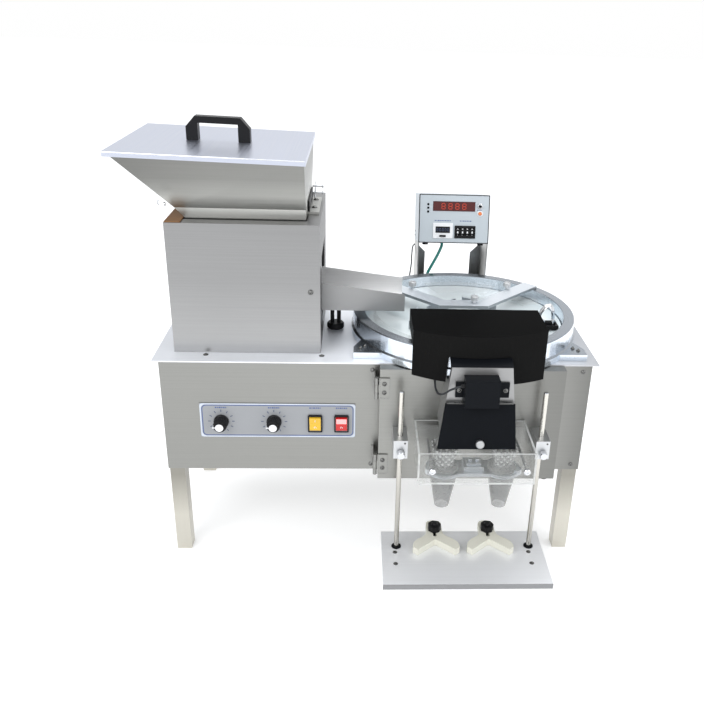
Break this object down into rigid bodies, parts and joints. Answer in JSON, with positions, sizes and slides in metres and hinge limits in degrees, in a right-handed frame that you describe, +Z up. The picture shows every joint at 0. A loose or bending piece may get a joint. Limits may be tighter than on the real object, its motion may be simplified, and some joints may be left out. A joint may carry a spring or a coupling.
{
  "type": "capsule and tablet counter",
  "caption": "Table-top electronic capsule and tablet counter with a hopper, vibrating trough, rotating disc, swing-out outlet unit, bottle platform and counter box.",
  "frame": {"origin": "middle of the footprint (bounding box) at floor level", "axes": "+X to the operator's right along the machine's longest side, +Y to the back, +Z up"},
  "size_m": [0.7416, 0.6026, 0.7082],
  "materials": {
    "cabinet_steel": "vertical brushed grain, satin",
    "deck_steel": "satin, slightly blue",
    "feeder_steel": "brushed, satin",
    "bright_steel": "fine ground",
    "machined_aluminium": "machined, clear anodised",
    "black_paint": "semi-matte black",
    "dark_paint": "dark green-grey hammer paint",
    "black_plastic": "moulded, satin",
    "yellow_plastic": "gloss, translucent",
    "red_plastic": "gloss, translucent, lamp inside",
    "panel_label": "silver printed label plate",
    "case_paint": "light blue-grey paint",
    "display_red": "dark red filter window",
    "clear_acrylic": "clear cast acrylic",
    "frosted_glass": "clear ground glass",
    "cream_nylon": "cream engineering plastic",
    "belt_rubber": "matt black rubber",
    "cable_green": "teal-green sheath",
    "cable_dark": "dark grey sheath"
  },
  "bodies": {
    "machine": {"cabinet_shell": "cabinet_steel", "deck_plate": "deck_steel", "leg_frame_left": "cabinet_steel", "leg_frame_right": "cabinet_steel", "control_panel": "panel_label", "feeder_housing": "feeder_steel", "hopper": "feeder_steel", "vibrator_unit": "dark_paint", "trough_support": "black_paint", "turntable_ring": "machined_aluminium", "drive_bracket": "dark_paint", "drive_motor": "dark_paint", "drive_belt": "belt_rubber", "bridge_bar": "machined_aluminium", "guide_plate": "clear_acrylic", "hinge_upper": "bright_steel", "hinge_lower": "bright_steel", "counter_box": "case_paint", "display_window": "display_red", "counter_stand": "cabinet_steel", "counter_cable": "cable_green", "signal_cable": "cable_dark"},
    "lid": {"hopper_lid": "deck_steel", "lid_handle": "black_plastic"},
    "trough": {"feed_trough": "feeder_steel"},
    "turntable": {"glass_disc": "frosted_glass", "disc_hub": "machined_aluminium"},
    "motor_wheel": {"motor_pulley": "machined_aluminium"},
    "feed_dial": {"vibrator_knob": "black_plastic"},
    "table_dial": {"turntable_knob": "black_plastic"},
    "yellow_switch": {"rocker_yellow": "yellow_plastic"},
    "red_switch": {"rocker_red": "red_plastic"},
    "door": {"door_panel": "cabinet_steel", "chute_housing": "feeder_steel", "sensor_box": "black_plastic", "sensor_cable": "cable_dark", "discharge_hood": "black_paint", "acrylic_tray": "clear_acrylic", "nozzle_plate": "machined_aluminium", "funnel_left": "clear_acrylic", "funnel_right": "clear_acrylic", "clamp_left": "machined_aluminium", "clamp_right": "machined_aluminium"},
    "flap": {"chute_flap": "black_plastic"},
    "vane": {"diverter_vane": "bright_steel"},
    "screw_left": {"clamp_screw_left": "bright_steel"},
    "screw_right": {"clamp_screw_right": "bright_steel"},
    "table": {"platform": "machined_aluminium", "rod_left": "bright_steel", "rod_right": "bright_steel"},
    "guide_left": {"locator_left": "cream_nylon"},
    "guide_right": {"locator_right": "cream_nylon"},
    "star_left": {"star_knob_left": "black_plastic"},
    "star_right": {"star_knob_right": "black_plastic"},
    "wheel_1": {"preset_wheel_1": "black_plastic"},
    "wheel_2": {"preset_wheel_2": "black_plastic"},
    "wheel_3": {"preset_wheel_3": "black_plastic"},
    "wheel_4": {"preset_wheel_4": "black_plastic"},
    "button": {"reset_button": "red_plastic"},
    "toggle": {"toggle_lever": "bright_steel"}
  },
  "joints": [
    {"name": "lid_lift", "type": "slide", "parent": "machine", "child": "lid", "axis": [0, 0, 1], "range_m": [0, 0.25]},
    {"name": "trough_shake", "type": "slide", "parent": "machine", "child": "trough", "axis": [1, 0, 0], "range_m": [-0.001, 0.001], "stiffness_N_per_m": 9000},
    {"name": "turntable_spin", "type": "hinge", "parent": "machine", "child": "turntable", "pos_m": [0.16735, -0.01633, 0.378], "axis": [0, 0, 1], "continuous": true},
    {"name": "motor_spin", "type": "hinge", "parent": "machine", "child": "motor_wheel", "pos_m": [0.06085, -0.01633, 0.266], "axis": [0, 0, 1], "continuous": true},
    {"name": "feed_dial_turn", "type": "hinge", "parent": "machine", "child": "feed_dial", "pos_m": [-0.22885, -0.15563, 0.2535], "axis": [0, 1, 0], "range_deg": [0, 300]},
    {"name": "table_dial_turn", "type": "hinge", "parent": "machine", "child": "table_dial", "pos_m": [-0.14515, -0.15563, 0.2535], "axis": [0, 1, 0], "range_deg": [0, 300]},
    {"name": "yellow_switch_tilt", "type": "hinge", "parent": "machine", "child": "yellow_switch", "pos_m": [-0.07955, -0.15633, 0.251], "axis": [-1, 0, 0], "range_deg": [0, 16]},
    {"name": "red_switch_tilt", "type": "hinge", "parent": "machine", "child": "red_switch", "pos_m": [-0.03725, -0.15633, 0.251], "axis": [-1, 0, 0], "range_deg": [0, 16]},
    {"name": "door_swing", "type": "hinge", "parent": "machine", "child": "door", "pos_m": [0.01735, -0.18133, 0.261], "axis": [0, 0, -1], "range_deg": [0, 95]},
    {"name": "flap_swing", "type": "hinge", "parent": "door", "child": "flap", "pos_m": [0.17185, -0.23583, 0.33], "axis": [-1, 0, 0], "range_deg": [0, 58]},
    {"name": "vane_swing", "type": "hinge", "parent": "door", "child": "vane", "pos_m": [0.17235, -0.20583, 0.345], "axis": [0, 1, 0], "range_deg": [-20, 20]},
    {"name": "screw_left_turn", "type": "hinge", "parent": "door", "child": "screw_left", "pos_m": [0.05585, -0.22563, 0.238], "axis": [0, 1, 0], "range_deg": [0, 360]},
    {"name": "screw_right_turn", "type": "hinge", "parent": "door", "child": "screw_right", "pos_m": [0.27835, -0.22563, 0.238], "axis": [0, 1, 0], "range_deg": [0, 360]},
    {"name": "table_height", "type": "slide", "parent": "door", "child": "table", "axis": [0, 0, 1], "range_m": [-0.03, 0.06]},
    {"name": "guide_left_slide", "type": "slide", "parent": "table", "child": "guide_left", "axis": [0, 1, 0], "range_m": [-0.008, 0.008]},
    {"name": "guide_right_slide", "type": "slide", "parent": "table", "child": "guide_right", "axis": [0, 1, 0], "range_m": [-0.008, 0.008]},
    {"name": "star_left_turn", "type": "hinge", "parent": "table", "child": "star_left", "pos_m": [0.12085, -0.17733, 0.06], "axis": [0, 0, -1], "range_deg": [0, 360]},
    {"name": "star_right_turn", "type": "hinge", "parent": "table", "child": "star_right", "pos_m": [0.21085, -0.17733, 0.06], "axis": [0, 0, -1], "range_deg": [0, 360]},
    {"name": "preset_turn_1", "type": "hinge", "parent": "machine", "child": "wheel_1", "pos_m": [0.17115, 0.19445, 0.47634], "axis": [1, 0, 0], "continuous": true},
    {"name": "preset_turn_2", "type": "hinge", "parent": "machine", "child": "wheel_2", "pos_m": [0.18035, 0.19445, 0.47634], "axis": [1, 0, 0], "continuous": true},
    {"name": "preset_turn_3", "type": "hinge", "parent": "machine", "child": "wheel_3", "pos_m": [0.18955, 0.19445, 0.47634], "axis": [1, 0, 0], "continuous": true},
    {"name": "preset_turn_4", "type": "hinge", "parent": "machine", "child": "wheel_4", "pos_m": [0.19875, 0.19445, 0.47634], "axis": [1, 0, 0], "continuous": true},
    {"name": "reset_press", "type": "slide", "parent": "machine", "child": "button", "axis": [0, 0.9781, -0.2079], "range_m": [0, 0.002], "stiffness_N_per_m": 300},
    {"name": "toggle_flip", "type": "hinge", "parent": "machine", "child": "toggle", "pos_m": [0.21655, 0.19531, 0.52605], "axis": [1, 0, 0], "range_deg": [0, 24]}
  ],
  "couplings": [
    {"joint": "motor_spin", "follows": "turntable_spin", "ratio": 2.3333}
  ]
}
